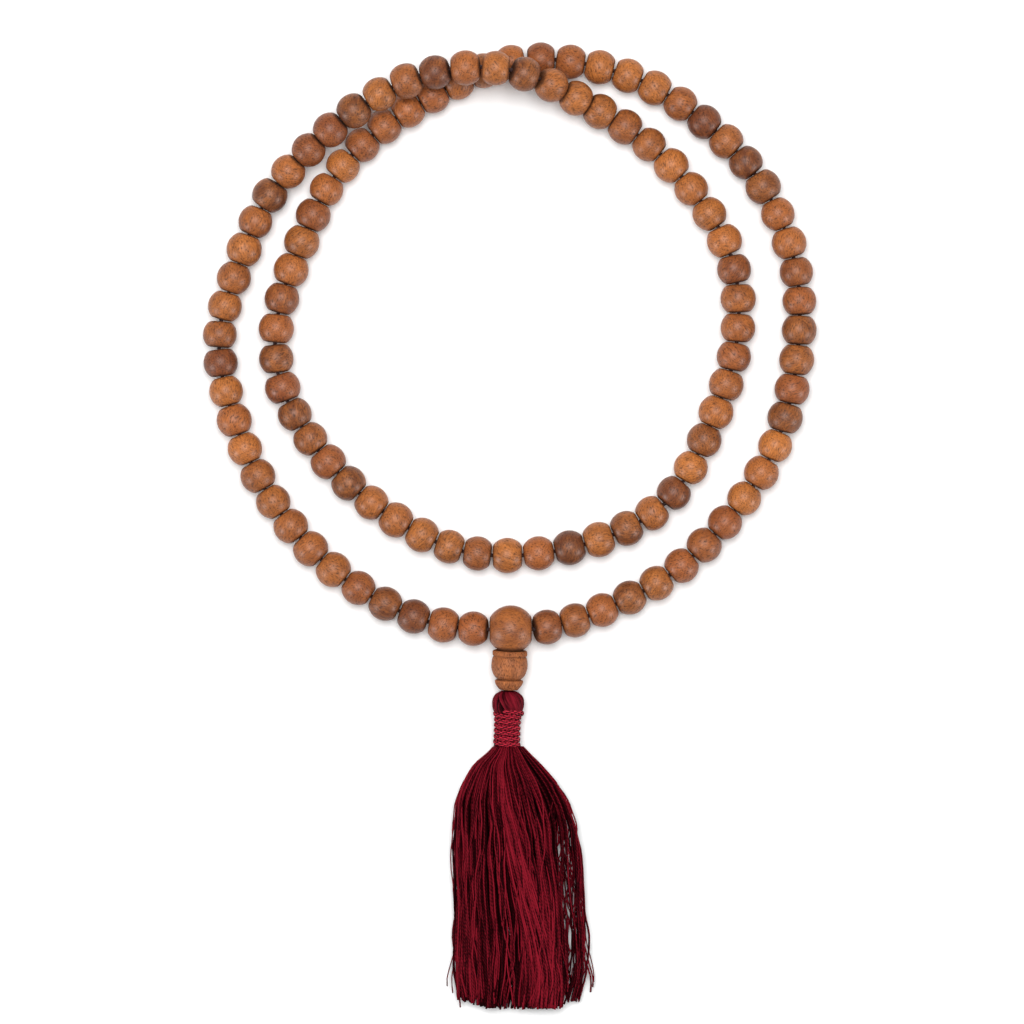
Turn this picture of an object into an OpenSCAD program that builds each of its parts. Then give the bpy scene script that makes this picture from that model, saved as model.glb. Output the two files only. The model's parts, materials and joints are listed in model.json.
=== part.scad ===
// Prayer beads: one closed strand of counting beads laid down in two loops,
// with a three-hole guru bead, a turned tower bead and a thread tassel.
// Z is up and the strand lies on z = 0. The guru bead and the tassel point to -Y.

/* [Counting beads] */
// Number of counting beads on the strand
bead_count = 108; // [104:2:108]
// Mean diameter of a counting bead
bead_d = 8.15; // [8:0.05:8.3]
// Largest difference of one bead's diameter from the mean
bead_d_spread = 0.22; // [0:0.02:0.3]
// Share by which one bead's length may differ from the mean
bead_length_spread = 0.07; // [0:0.01:0.08]
// Diameter of the hole through a counting bead
bead_hole_d = 1.2; // [1.15:0.05:2]
// Radius of the soft edge between a bead's round side and its flat end
bead_edge = 1.6; // [0.6:0.1:1.8]
// Space left between neighbouring beads
bead_gap = 0.12; // [0.1:0.02:0.3]

/* [Cord] */
// Diameter of the strand's cord
cord_d = 1; // [0.6:0.05:1]
// Diameter of each of the two cord ends that run down to the tassel
cord_end_d = 0.9; // [0.6:0.05:0.9]

/* [Guru bead] */
// Diameter of the guru bead
guru_d = 11.2; // [10.8:0.1:11.4]
// Length of the guru bead along the strand
guru_length = 10.4; // [9:0.1:10.6]
// Diameter of the guru bead's third hole and of the tower bead's hole
drop_hole_d = 2.2; // [2:0.1:2.6]
// Angle by which the guru bead tips the tassel down to the table
drop_tilt = 4.4; // [3:0.1:5]
// Angle by which the tower bead and the tassel's neck lean to the left
drop_lean = 2; // [0:0.5:3]

/* [Tower bead] */
// Diameter of the tower bead's collar
collar_d = 8.3; // [7.6:0.1:8.6]
// Largest diameter of the tower bead's barrel
barrel_d = 8.5; // [7.8:0.1:8.8]
// Diameter of the tower bead's base rim
base_d = 6.7; // [6:0.1:7.2]

/* [Tassel] */
// Diameter of the knot inside the tassel's head
knot_d = 2; // [1.6:0.1:2]
// Largest diameter of the tassel's head
head_d = 7.4; // [6.8:0.1:7.6]
// Diameter of the bundle of threads inside the binding
neck_d = 5.2; // [4.6:0.1:5.2]
// Number of turns of the binding cord
binding_turns = 6; // [4:1:6]
// Diameter of the binding cord
binding_cord_d = 1.36; // [1.3:0.02:1.5]

/* [Hidden] */
$fn = 48;
CORD_SIDES = 8;

// Places along the line from the guru bead's centre down to the tassel
collar_top = 4.95;
tower_end = 14.15;
knot_at = 17.2;
binding_start = 19.5;
binding_end = 27.4;
fit = 0.1;

// The guru bead's centre
guru_at = [0, -24.3, guru_d / 2];

// The strand's route from the guru bead's left face, out and up the left side, over
// itself at the top, round the inner loop and back: x, y and rise above the table
ROUTE = [
    [-5.2, -24.3, 1.5], [-15, -24, 0], [-25.5, -20.5, 0], [-38.5, -13, 0],
    [-48.5, -4, 0], [-57, 7.5, 0], [-63, 19.5, 0], [-67, 33, 0],
    [-68.5, 45.5, 0], [-63.5, 60.5, 0], [-57.5, 76, 0], [-46.5, 88, 3],
    [-36, 97, 5.3], [-24.5, 103.5, 6.4], [-10.5, 106.5, 8.6], [3.5, 105.2, 8.2],
    [13.5, 100.2, 3.5], [25.5, 94, 0], [36, 86, 0], [44.5, 75.5, 0],
    [51, 65.5, 0], [53.5, 52, 0], [52, 37.5, 0], [46.5, 23, 0],
    [39, 7.5, 0], [27.5, -1, 0], [13.5, -5.5, 0], [-0.5, -7.5, 0],
    [-14.5, -5.5, 0], [-27.5, 1.5, 0], [-38.5, 10, 0], [-49, 23, 0],
    [-55, 36, 0], [-54.5, 50, 0], [-49, 65.5, 0], [-42.5, 80, 0],
    [-32.5, 91, 0], [-21.5, 98.5, 0], [-10, 104.6, 0], [1.5, 109, 0],
    [16.5, 108, 0], [30.5, 104, 0], [42.5, 96.5, 0], [55, 85, 0],
    [62.5, 73, 0], [67, 59.5, 0], [67.5, 45.5, 0], [65.5, 30, 0],
    [60.5, 15, 0], [50.5, 1, 0], [38, -11.5, 0], [25.5, -18, 0],
    [12.5, -23.5, 0], [5.2, -24.3, 1.5]
];
ROUTE_STEPS = 8;

// Beads pinched where the strand crosses itself, which do not turn
PINCHED = [27, 29, 79];

// The tassel's skirt, from the binding to the cut ends: distance from the binding,
// left edge, right edge, underside and top
SKIRT = [
    [0, -3.9, 2.8, 0.3, 6.8], [1.5, -5.3, 4.2, 0.1, 7.6], [4, -8.5, 6.8, 0, 8.6],
    [8, -11, 10.6, 0, 9.4], [13, -12.8, 13.6, 0, 9.4], [19, -13.2, 15.6, 0, 8.8],
    [30, -13.6, 16.4, 0, 7.6], [44, -13.6, 17.4, 0, 6.6], [54, -13.2, 17.4, 0, 6],
    [60.5, -12.4, 15.6, 0.2, 5.2]
];
SKIRT_SIDES = 24;

// A point on the smooth curve between p1 and p2, at t from 0 to 1
function smooth_point(p0, p1, p2, p3, t) =
    0.5 * (2 * p1 + (p2 - p0) * t + (2 * p0 - 5 * p1 + 4 * p2 - p3) * t * t
           + (3 * p1 - p0 - 3 * p2 + p3) * t * t * t);
// The route with one more point past each end, in line with the guru bead's hole
function padded(v) = concat([v[0] + [8, 0, 0]], v, [v[len(v) - 1] - [8, 0, 0]]);
function smooth_path(v) = [
    for (i = [1 : len(v) - 3], k = [0 : ROUTE_STEPS - 1])
        smooth_point(v[i - 1], v[i], v[i + 1], v[i + 2], k / ROUTE_STEPS),
    v[len(v) - 2]
];
// Running totals of a list, starting from 0
function running(v) = [for (i = 0, t = 0; i <= len(v); t = t + (i < len(v) ? v[i] : 0), i = i + 1) t];

path = smooth_path(padded(ROUTE));
path_at = running([for (i = [1 : len(path) - 1]) norm(path[i] - path[i - 1])]);
path_length = path_at[len(path_at) - 1];
function path_axis(axis) = [for (i = [0 : len(path) - 1]) [path_at[i], path[i][axis]]];
path_x = path_axis(0);
path_y = path_axis(1);
path_rise = path_axis(2);

// Each bead's diameter, and its share of the strand
diameters = rands(bead_d - bead_d_spread, bead_d + bead_d_spread, bead_count, 27);
shares = rands(1 - bead_length_spread, 1 + bead_length_spread, bead_count, 57);
ends_at = running(shares) * path_length / running(shares)[bead_count];

// Height of the hole between beads i - 1 and i, so that neither sinks into the table
function resting(i) = max(diameters[max(i - 1, 0)], diameters[min(i, bead_count - 1)]) / 2;
// Where the cord passes from one bead to the next: 0 and bead_count are the guru's faces
function between(i) = i == 0 || i == bead_count
    ? guru_at + [(i == 0 ? -1 : 1) * guru_length / 2, 0, 0]
    : [lookup(ends_at[i], path_x), lookup(ends_at[i], path_y),
       resting(i) + max(0, lookup(ends_at[i], path_rise))];
// The cord settles: each place lies a quarter of the way towards its two neighbours
laid = [for (i = [0 : bead_count]) between(i)];
function settled(i) = let (middle = (laid[i - 1] + 2 * laid[i] + laid[i + 1]) / 4)
    [middle.x, middle.y, laid[i].z];
joints = [for (i = [0 : bead_count]) i == 0 || i == bead_count ? laid[i] : settled(i)];

// The unit vector from one place on the cord to the next one
function heading(i) = (joints[i + 1] - joints[i]) / norm(joints[i + 1] - joints[i]);
// Angle between the beads that meet at place i
function turn(i) =
    let (before = i == 0 ? [-1, 0, 0] : heading(i - 1),
         after = i == bead_count ? [-1, 0, 0] : heading(i))
        acos(min(1, before * after));
// Radius of the flat end of a bead
function flat_r(length, diameter) =
    sqrt(pow(diameter / 2 - bead_edge, 2) - pow(length / 2 - bead_edge, 2));
// Space from place i to a bead's flat end of radius r, which keeps the bead on its own side
// of the plane that halves the turn there
function room(i, r) = bead_gap / 2 + r * tan(turn(i) / 2);
shortest = path_length / bead_count * (1 - bead_length_spread) - 3 * bead_gap;
widest_flat_r = flat_r(shortest, bead_d + bead_d_spread);
function near_end(i) = joints[i - 1] + heading(i - 1) * room(i - 1, widest_flat_r);
function far_end(i) = joints[i] - heading(i - 1) * room(i, widest_flat_r);
guru_flat_r = flat_r(guru_length, guru_d);
guru_room = max(room(0, guru_flat_r), room(bead_count, guru_flat_r));

// The beads that have a node each are every second one, apart from the pinched ones
TURNING = [for (i = [1 : 2 : bead_count]) if (len(search(i, PINCHED)) == 0) i];
STILL = [for (i = [1 : bead_count]) if (len(search(i, TURNING)) == 0) i];
function bead_name(i) = str("bead_", i < 10 ? "00" : i < 100 ? "0" : "", i);

WOOD = [0.62, 0.39, 0.22];
DARK_WOOD = [0.55, 0.33, 0.19];
CORD = [0.35, 0.1, 0.12];
MAROON = [0.43, 0.06, 0.15];
CRIMSON = [0.6, 0.08, 0.18];

// Turns what follows from the Z axis to the line from a to b, centred between them
module along(a, b) {
    d = b - a;
    translate((a + b) / 2)
        rotate([0, acos(d.z / norm(d)), atan2(d.y, d.x)])
            children();
}

// Turns what follows so that +Z runs from the guru bead's centre down to the tassel
module dropping() {
    translate(guru_at)
        rotate([90 + drop_tilt, 0, -drop_lean])
            children();
}

// A turned bead with its hole along Z: a ball with two flat ends and soft edges
module turned_bead(length, diameter, hole_d) {
    r = flat_r(length, diameter);
    z = length / 2 - bead_edge;
    side = atan2(r, z);
    edge_steps = 4;
    side_steps = 10;
    edge = [for (k = [0 : edge_steps]) let (t = side * k / edge_steps)
        [r + bead_edge * sin(t), z + bead_edge * cos(t)]];
    round_side = [for (k = [1 : side_steps - 1]) let (t = side + (180 - 2 * side) * k / side_steps)
        [diameter / 2 * sin(t), diameter / 2 * cos(t)]];
    other_edge = [for (k = [edge_steps : -1 : 0]) [edge[k].x, -edge[k].y]];
    rotate_extrude()
        polygon(concat([[hole_d / 2, length / 2]], edge, round_side, other_edge,
                       [[hole_d / 2, -length / 2]]));
}

// Counting bead number i, on the cord
module counting_bead(i) {
    a = near_end(i);
    b = far_end(i);
    along(a, b)
        turned_bead(norm(b - a), diameters[i - 1], bead_hole_d);
}

module counting_beads() {
    color(WOOD)
        for (i = STILL)
            counting_bead(i);
}

// The cord's direction where it passes from one bead to the next
function cord_heading(i) = i == 0 || i == bead_count
    ? [-1, 0, 0]
    : (heading(i - 1) + heading(i)) / norm(heading(i - 1) + heading(i));
// One ring of the cord's surface about point p, square to direction d
function cord_ring(p, d) = let (side = cross(d, [0, 0, 1]) / norm(cross(d, [0, 0, 1])))
    [for (k = [0 : CORD_SIDES - 1])
        p + cord_d / 2 * (side * cos(k * 360 / CORD_SIDES)
                          + cross(side, d) * sin(k * 360 / CORD_SIDES))];
// Triangles that join rings of n points in turn, with a cap at each end
function tube_faces(rings, n) = concat(
    [[for (k = [n - 1 : -1 : 0]) k]],
    [for (i = [0 : rings - 2], k = [0 : n - 1])
        [i * n + k, i * n + (k + 1) % n, (i + 1) * n + (k + 1) % n]],
    [for (i = [0 : rings - 2], k = [0 : n - 1])
        [i * n + k, (i + 1) * n + (k + 1) % n, (i + 1) * n + k]],
    [[for (k = [0 : n - 1]) (rings - 1) * n + k]]
);

// The strand's cord, whose two ends stop inside the guru bead
module strand_cord() {
    stub = [cord_d / 8, 0, 0];
    rings = concat(
        [cord_ring(guru_at - stub, [-1, 0, 0])],
        [for (i = [0 : bead_count]) cord_ring(joints[i], cord_heading(i))],
        [cord_ring(guru_at + stub, [-1, 0, 0])]
    );
    color(CORD)
        polyhedron([for (ring = rings) each ring], tube_faces(len(rings), CORD_SIDES));
}

// The three-hole bead that closes the strand
module guru_bead() {
    color(DARK_WOOD)
        difference() {
            translate(guru_at)
                rotate([0, 90, 0])
                    turned_bead(guru_length - 2 * guru_room, guru_d, bead_hole_d);
            dropping()
                cylinder(d = drop_hole_d, h = guru_d);
        }
}

// The strand's two ends, side by side from the guru bead down through the tower bead
module pendant_cord() {
    top = cord_d / 2 + fit;
    color(CORD)
        dropping()
            for (side = [-1, 1])
                translate([side * (cord_end_d / 2 + 0.03), 0, top])
                    cylinder(d = cord_end_d, h = tower_end - fit - top);
}

// The vase-shaped bead under the guru bead, dished so that the guru bead sits in it
module tower_bead() {
    color(WOOD)
        dropping()
            difference() {
                rotate_extrude()
                    polygon([
                        [0, collar_top], [collar_d / 2, collar_top],
                        [collar_d / 2, collar_top + 1.1], [collar_d / 2 - 0.3, 6.15],
                        [collar_d / 2 - 0.3, 6.4], [barrel_d / 2 - 0.2, 6.7],
                        [barrel_d / 2 - 0.05, 7.5], [barrel_d / 2, 8.4],
                        [barrel_d / 2 - 0.08, 9.3], [barrel_d / 2 - 0.38, 10.3],
                        [barrel_d / 2 - 0.85, 11], [barrel_d / 2 - 1.4, 11.5],
                        [base_d / 2 - 0.6, 11.6], [base_d / 2 - 0.6, 11.8],
                        [base_d / 2, 11.9], [base_d / 2, 12.4],
                        [base_d / 2 - 0.35, 13.1], [base_d / 2 - 0.85, 13.75],
                        [base_d / 2 - 1.3, tower_end], [0, tower_end]
                    ]);
                sphere(d = guru_d + 0.3);
                cylinder(d = drop_hole_d, h = 2 * tower_end);
            }
}

// The knot that holds the tassel on the cord ends
module tassel_knot() {
    color(CORD)
        dropping()
            translate([0, 0, knot_at])
                sphere(d = knot_d);
}

// The threads folded over the knot, and their neck inside the binding
module tassel_head() {
    top = knot_at - tower_end - fit;
    shoulder = binding_start - knot_at - fit;
    r = head_d / 2;
    color(MAROON)
        dropping()
            translate([0, 0, knot_at])
                difference() {
                    rotate_extrude()
                        polygon([
                            [0, -top], [top * sin(16), -top * cos(16)],
                            [top * sin(32), -top * cos(32)], [2.3, -1.98],
                            [r - 0.55, -1.4], [r - 0.15, -0.75], [r, 0],
                            [r - 0.05, 0.9], [r - 0.2, 1.6], [r - 0.45, shoulder],
                            [neck_d / 2, shoulder], [neck_d / 2, binding_end - knot_at],
                            [0, binding_end - knot_at]
                        ]);
                    sphere(d = knot_d + 2 * fit);
                    translate([0, 0, -r])
                        cylinder(d = drop_hole_d - 0.2, h = r);
                }
}

// The cord wound round the tassel's neck, slightly waisted
module neck_binding() {
    pitch = (binding_end - binding_start - binding_cord_d) / (binding_turns - 1);
    color(CRIMSON)
        dropping()
            rotate_extrude()
                difference() {
                    for (k = [0 : binding_turns - 1])
                        translate([
                            neck_d / 2 + 0.08 + 0.08 * abs(2 * k - binding_turns + 1) / (binding_turns - 1),
                            binding_start + binding_cord_d / 2 + k * pitch
                        ])
                            circle(d = binding_cord_d);
                    square([neck_d / 2 + 0.05, 2 * binding_end]);
                }
}

// One ring of the skirt: an oval between its edges, its underside and its top
function skirt_ring(row, start) = [
    for (k = [0 : SKIRT_SIDES - 1])
        let (c = cos(k * 360 / SKIRT_SIDES), s = sin(k * 360 / SKIRT_SIDES))
            [(row[1] + row[2]) / 2 + (row[2] - row[1]) / 2 * sign(c) * pow(abs(c), 0.85),
             start - row[0],
             (row[3] + row[4]) / 2 + (row[4] - row[3]) / 2 * sign(s) * pow(abs(s), 0.85)]
];

// The loose threads below the binding, as one bundle resting on the table
module tassel_skirt() {
    start = guru_at.y - (binding_end + fit) * cos(drop_tilt) - 0.35;
    color(MAROON)
        polyhedron([for (row = SKIRT) each skirt_ring(row, start)],
                   tube_faces(len(SKIRT), SKIRT_SIDES));
}

strand_cord();
counting_beads();
guru_bead();
pendant_cord();
tower_bead();
tassel_knot();
tassel_head();
neck_binding();
tassel_skirt();
for (i = TURNING)
    color(WOOD) counting_bead(i);
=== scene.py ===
"""Looks of a strand of wooden prayer beads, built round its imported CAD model.

The CAD model gives every place and size. This script dresses it: turned wooden beads, a
three-hole guru bead, a tower bead, a laid cord, and a tassel of separate threads.
Lengths in the classes are in millimetres, as on a bead maker's bench, and MM turns them
into Blender's metres.
"""

import json  # noqa: E402
import logging  # noqa: E402
import math  # noqa: E402
from collections.abc import Callable, Iterable, Mapping, Sequence  # noqa: E402
from dataclasses import dataclass, field  # noqa: E402
from enum import Enum  # noqa: E402
from typing import Any, Union  # noqa: E402

import bpy  # noqa: E402
import numpy as np  # noqa: E402
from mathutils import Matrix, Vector  # noqa: E402

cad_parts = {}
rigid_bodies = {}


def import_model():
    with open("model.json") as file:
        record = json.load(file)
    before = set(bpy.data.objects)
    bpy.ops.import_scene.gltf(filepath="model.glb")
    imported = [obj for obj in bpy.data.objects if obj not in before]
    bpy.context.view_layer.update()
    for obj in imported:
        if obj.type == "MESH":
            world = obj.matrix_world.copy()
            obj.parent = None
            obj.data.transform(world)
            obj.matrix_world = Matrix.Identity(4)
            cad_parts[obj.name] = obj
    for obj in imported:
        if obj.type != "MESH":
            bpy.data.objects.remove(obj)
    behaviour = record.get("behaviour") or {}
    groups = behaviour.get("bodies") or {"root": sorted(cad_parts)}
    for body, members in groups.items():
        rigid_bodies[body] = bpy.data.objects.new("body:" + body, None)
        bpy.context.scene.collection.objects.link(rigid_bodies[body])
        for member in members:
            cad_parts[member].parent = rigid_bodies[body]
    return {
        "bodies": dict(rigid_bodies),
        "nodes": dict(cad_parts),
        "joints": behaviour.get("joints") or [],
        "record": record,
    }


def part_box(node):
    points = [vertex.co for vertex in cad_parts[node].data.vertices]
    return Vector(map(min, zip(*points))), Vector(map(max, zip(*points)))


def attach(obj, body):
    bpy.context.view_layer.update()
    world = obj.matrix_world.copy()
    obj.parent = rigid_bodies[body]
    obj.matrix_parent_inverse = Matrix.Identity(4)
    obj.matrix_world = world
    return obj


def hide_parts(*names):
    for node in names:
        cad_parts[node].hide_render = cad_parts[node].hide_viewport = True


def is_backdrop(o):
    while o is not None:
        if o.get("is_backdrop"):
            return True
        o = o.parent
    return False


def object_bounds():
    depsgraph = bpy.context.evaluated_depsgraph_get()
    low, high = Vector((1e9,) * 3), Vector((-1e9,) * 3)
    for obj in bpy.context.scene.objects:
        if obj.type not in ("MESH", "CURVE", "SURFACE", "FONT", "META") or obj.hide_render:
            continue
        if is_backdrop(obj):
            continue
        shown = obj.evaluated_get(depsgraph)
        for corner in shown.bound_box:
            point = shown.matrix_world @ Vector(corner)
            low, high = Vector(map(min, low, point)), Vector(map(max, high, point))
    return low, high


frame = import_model()

LOG = logging.getLogger("prayer_beads")
MM = 0.001
TURN = 2 * math.pi

Colour = tuple[float, float, float]
Array = np.ndarray


def tint(red: int, green: int, blue: int) -> Colour:
    """Turns a colour as a screen shows it, 0 to 255, into Blender's linear light.

    Args:
        red: Red, 0 to 255.
        green: Green, 0 to 255.
        blue: Blue, 0 to 255.

    Returns:
        The linear colour.
    """
    parts = [c / 255 for c in (red, green, blue)]
    return tuple(p / 12.92 if p <= 0.04045 else ((p + 0.055) / 1.055) ** 2.4 for p in parts)


def unit(vectors: Array) -> Array:
    """Scales each row of an array of vectors to length 1."""
    return vectors / np.linalg.norm(vectors, axis=-1, keepdims=True)


def smooth_step(low: float, high: float, x: Array) -> Array:
    """Rises smoothly from 0 at low to 1 at high."""
    t = np.clip((x - low) / (high - low), 0, 1)
    return t * t * (3 - 2 * t)


# ---------------------------------------------------------------- shader expressions


class Value:
    """A number socket of a material that takes part in Python arithmetic."""

    def __init__(self, shader: "Shader", socket: bpy.types.NodeSocket) -> None:
        """Wraps a socket.

        Args:
            shader: The material that the socket's node is in.
            socket: The node's output.
        """
        self.shader = shader
        self.socket = socket

    def _math(self, operation: str, *terms: "Term") -> "Value":
        """Adds a Math node.

        Args:
            operation: Blender's name for what the node does.
            terms: The node's inputs in order.

        Returns:
            The node's result.
        """
        return self.shader.value("ShaderNodeMath", {"operation": operation}, dict(enumerate(terms)))

    def __add__(self, other: "Term") -> "Value":
        """Adds."""
        return self._math("ADD", self, other)

    def __radd__(self, other: "Term") -> "Value":
        """Adds, from the right."""
        return self._math("ADD", other, self)

    def __sub__(self, other: "Term") -> "Value":
        """Subtracts."""
        return self._math("SUBTRACT", self, other)

    def __rsub__(self, other: "Term") -> "Value":
        """Subtracts this from the other."""
        return self._math("SUBTRACT", other, self)

    def __mul__(self, other: "Term") -> "Value":
        """Multiplies."""
        return self._math("MULTIPLY", self, other)

    def __rmul__(self, other: "Term") -> "Value":
        """Multiplies, from the right."""
        return self._math("MULTIPLY", other, self)

    def root(self) -> "Value":
        """Takes the square root."""
        return self._math("SQRT", self)

    def sine(self) -> "Value":
        """Takes the sine of an angle in radians."""
        return self._math("SINE", self)

    def angle_from(self, other: "Value") -> "Value":
        """Gives the angle whose sine is this and whose cosine is the other."""
        return self._math("ARCTAN2", self, other)

    def rising(self, low: float, high: float) -> "Value":
        """Rises smoothly from 0 to 1.

        Args:
            low: Where the rise starts.
            high: Where it ends. It may be less than low, for a fall.

        Returns:
            A value from 0 to 1.
        """
        settings = {"interpolation_type": "SMOOTHSTEP"}
        inputs = {"Value": self, "From Min": low, "From Max": high}
        return self.shader.value("ShaderNodeMapRange", settings, inputs)


Term = Union[Value, float]


class Shader:
    """A material's node tree, built one node at a time."""

    def __init__(self, name: str) -> None:
        """Starts an empty material.

        Args:
            name: The material's name.
        """
        self.material = bpy.data.materials.new(name)
        self.material.use_nodes = True
        self.tree = self.material.node_tree
        self.tree.nodes.clear()

    def node(
        self,
        kind: str,
        settings: Mapping[str, Any] | None = None,
        inputs: Mapping[str | int, Any] | None = None,
    ) -> bpy.types.Node:
        """Adds any node.

        Args:
            kind: Blender's node type.
            settings: The node's own settings, set before its inputs.
            inputs: A value or a link for each socket, by name or number.

        Returns:
            The node.
        """
        made = self.tree.nodes.new(kind)
        for name, setting in (settings or {}).items():
            setattr(made, name, setting)
        for name, term in (inputs or {}).items():
            if isinstance(term, Value):
                self.tree.links.new(term.socket, made.inputs[name])
            else:
                made.inputs[name].default_value = term
        return made

    def value(
        self,
        kind: str,
        settings: Mapping[str, Any] | None = None,
        inputs: Mapping[str | int, Any] | None = None,
        output: str | int = 0,
    ) -> Value:
        """Adds any node and gives one of its outputs.

        Args:
            kind: Blender's node type.
            settings: The node's own settings.
            inputs: A value or a link for each socket.
            output: Which output to give.

        Returns:
            The output.
        """
        return Value(self, self.node(kind, settings, inputs).outputs[output])

    def attribute(self, name: str) -> Value:
        """Reads a vector that the mesh holds at each point."""
        return self.value("ShaderNodeAttribute", {"attribute_name": name}, output="Vector")

    def parts(self, vector: Value) -> tuple[Value, Value, Value]:
        """Splits a vector into its three numbers."""
        split = self.node("ShaderNodeSeparateXYZ", inputs={0: vector})
        return tuple(Value(self, split.outputs[k]) for k in range(3))

    def stretched(self, vector: Value, scale: tuple[float, float, float]) -> Value:
        """Scales a vector along each axis.

        Args:
            vector: The vector.
            scale: How much, along X, Y and Z.

        Returns:
            The scaled vector.
        """
        return self.value("ShaderNodeVectorMath", {"operation": "MULTIPLY"}, {0: vector, 1: scale})

    def noise(self, vector: Value, detail: float = 2.0) -> Value:
        """Gives soft three-dimensional noise, about 1 unit across.

        Args:
            vector: Where to read the noise.
            detail: How many finer layers it has.

        Returns:
            A value from 0 to 1.
        """
        inputs = {"Vector": vector, "Scale": 1.0, "Detail": detail}
        return self.value("ShaderNodeTexNoise", {"noise_dimensions": "3D"}, inputs)

    def ripple(self, distance: Value, detail: float = 2.0) -> Value:
        """Gives soft one-dimensional noise along a distance.

        Args:
            distance: Where to read the noise.
            detail: How many finer layers it has.

        Returns:
            A value from 0 to 1.
        """
        inputs = {"W": distance, "Scale": 1.0, "Detail": detail}
        return self.value("ShaderNodeTexNoise", {"noise_dimensions": "1D"}, inputs)

    def mixed(
        self, share: Term, first: Value | Colour, second: Value | Colour, how: str = "MIX"
    ) -> Value:
        """Mixes two colours.

        Args:
            share: 0 for the first colour and 1 for the second.
            first: A colour or a link.
            second: A colour or a link.
            how: Blender's name for the way of mixing.

        Returns:
            The mixed colour.
        """
        full = [c if isinstance(c, Value) else (*c, 1.0) for c in (first, second)]
        settings = {"data_type": "RGBA", "blend_type": how, "clamp_factor": True}
        return self.value("ShaderNodeMix", settings, {0: share, 6: full[0], 7: full[1]}, output=2)

    def bump(self, height: Value, depth: float) -> Value:
        """Raises the surface where height is more.

        Args:
            height: From 0 to 1.
            depth: Millimetres from lowest to highest.

        Returns:
            The bumped normal.
        """
        return self.value("ShaderNodeBump", inputs={"Height": height, "Distance": depth * MM})

    def finish(
        self, colour: Value | Colour, roughness: Term, normal: Value | None, **uniform: Any
    ) -> bpy.types.Material:
        """Adds the surface itself.

        Args:
            colour: The base colour.
            roughness: How dull the surface is.
            normal: The bumped normal, if any.
            uniform: Other sockets of the Principled shader, with _ for a space.

        Returns:
            The material.
        """
        base = colour if isinstance(colour, Value) else (*colour, 1.0)
        inputs = {"Base Color": base, "Roughness": roughness}
        if normal is not None:
            inputs["Normal"] = normal
        inputs.update({name.replace("_", " "): setting for name, setting in uniform.items()})
        surface = self.value("ShaderNodeBsdfPrincipled", inputs=inputs)
        self.node("ShaderNodeOutputMaterial", inputs={"Surface": surface})
        return self.material


# ---------------------------------------------------------------- finishes


@dataclass(frozen=True)
class WoodFinish:
    """A close-grained brown wood, read from grain, tone and wear on each mesh.

    grain is a place in the log, in millimetres, with the fibres along its X. tone holds
    the piece's lightness, its redness and how strongly its growth rings show. wear holds
    the dirt near a hole, a groove or a neighbour, with painted shade there, and how raw
    the wood is.
    """

    name: str
    light: Colour
    dark: Colour
    red: Colour
    roughness: float = 0.42
    gloss: float = 0.3
    pores: float = 0.6
    clouds: float = 0.7
    bands: float = 0.35
    streaks: float = 0.5
    dirt_and_shade_strength: float = 0.55
    relief: float = 0.02

    def material(self) -> bpy.types.Material:
        """Builds the material.

        Returns:
            The material.
        """
        s = Shader(self.name)
        grain = s.attribute("grain")
        lightness, redness, figure = s.parts(s.attribute("tone"))
        dirt_and_shade, rawness, _ = s.parts(s.attribute("wear_and_shade"))
        _, across, deep = s.parts(grain)

        cloud = s.noise(s.stretched(grain, (0.12, 0.26, 0.26)), detail=2.0)
        fibre = s.noise(s.stretched(grain, (0.35, 1.9, 1.9)), detail=2.0)
        stipple = s.noise(s.stretched(grain, (1.5, 3.2, 3.2)), detail=3.0)
        pores = stipple.rising(0.51, 0.68)
        pale = stipple.rising(0.47, 0.32)
        bow = across * across + deep * deep
        radius = bow.root()
        bands = s.ripple(radius * 0.75 + cloud * 1.3, detail=3.0)
        late = (radius * 5.2 + cloud * 5.0).sine().rising(0.5, 1.0) * figure

        shade = lightness + (cloud - 0.5) * self.clouds
        shade = shade + (bands - 0.5) * self.bands + (fibre - 0.5) * self.streaks
        body = s.mixed(shade.rising(0.0, 1.0), self.dark, self.light)
        body = s.mixed(redness * 0.75, body, self.red)
        marks = 1 - pores * self.pores + pale * self.pores * 0.5 - late * 0.32
        # Painted shade with real dirt: darker where the wood meets a neighbour or lies hidden.
        marks = marks * (1 - dirt_and_shade * self.dirt_and_shade_strength)
        grey = s.value("ShaderNodeCombineColor", inputs={0: marks, 1: marks, 2: marks})
        body = s.mixed(1.0, body, grey, "MULTIPLY")

        height = fibre * 0.35 + bands * 0.1 - pores * 0.7 + rawness * stipple * 1.6
        rough = self.roughness + pores * 0.14 + (cloud - 0.5) * 0.14 + rawness * 0.3 + dirt_and_shade * 0.3
        return s.finish(body, rough, s.bump(height, self.relief), Specular_IOR_Level=self.gloss)


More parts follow.
